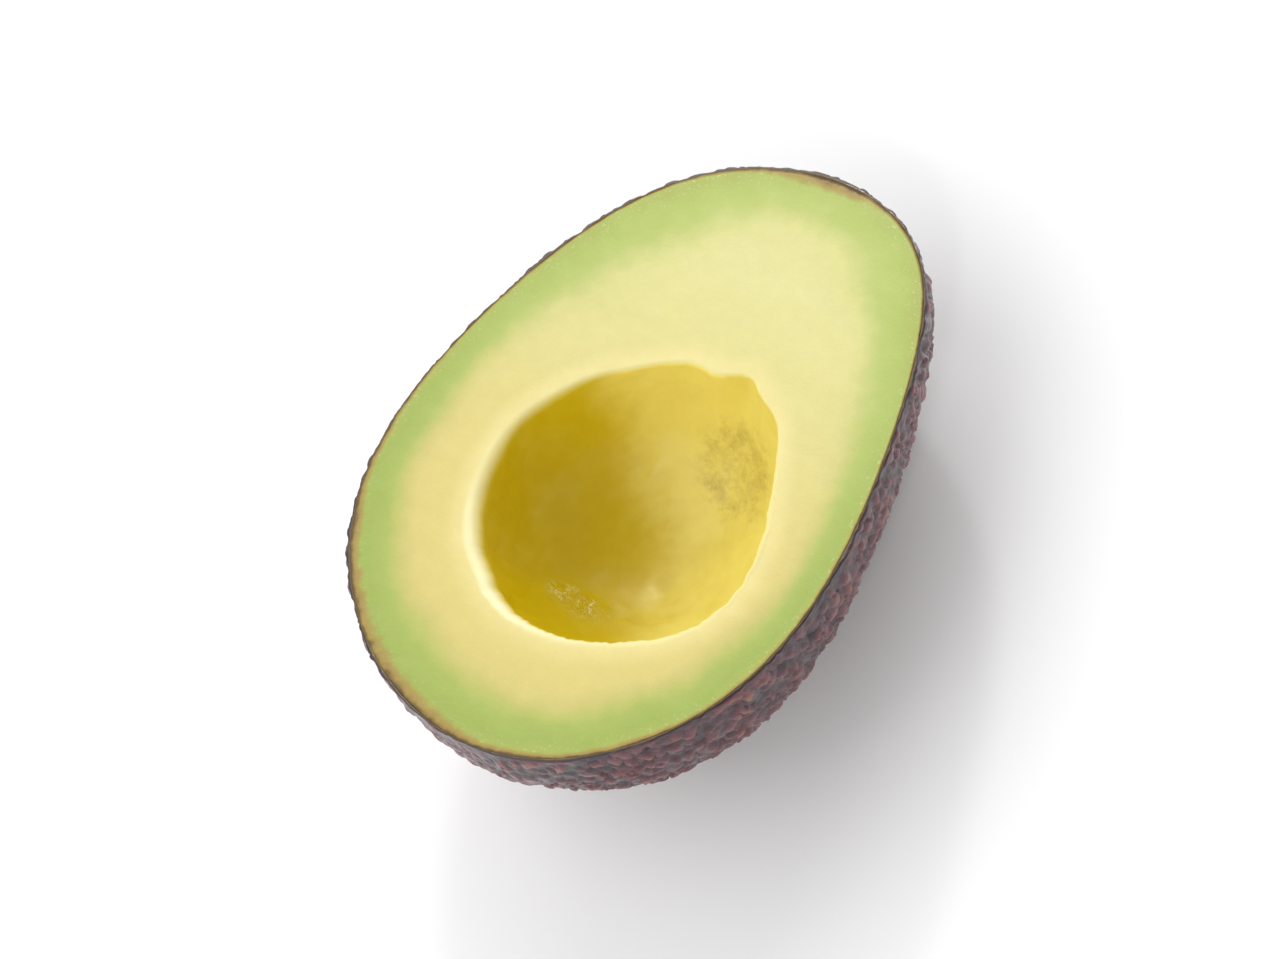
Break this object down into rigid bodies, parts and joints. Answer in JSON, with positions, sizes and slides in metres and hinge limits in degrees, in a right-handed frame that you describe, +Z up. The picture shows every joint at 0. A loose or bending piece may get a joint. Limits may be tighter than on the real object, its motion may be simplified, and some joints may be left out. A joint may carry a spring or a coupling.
{
  "type": "avocado half",
  "caption": "Lengthwise cut half of a ripe avocado with its stone taken out, lying on its rounded back: pale cut face, open stone hollow and dark pebbled skin.",
  "frame": {"origin": "on the surface it rests on, below the middle of the fruit's outline", "axes": "+Y along the fruit towards the stem end, +X across it, +Z up out of the cut face, which leans 7.8 degrees towards the stem end"},
  "size_m": [0.0714, 0.0974, 0.0398],
  "materials": {
    "flesh": "satin",
    "skin": "satin"
  },
  "bodies": {
    "root": {"avocado_half": "flesh"}
  },
  "joints": []
}
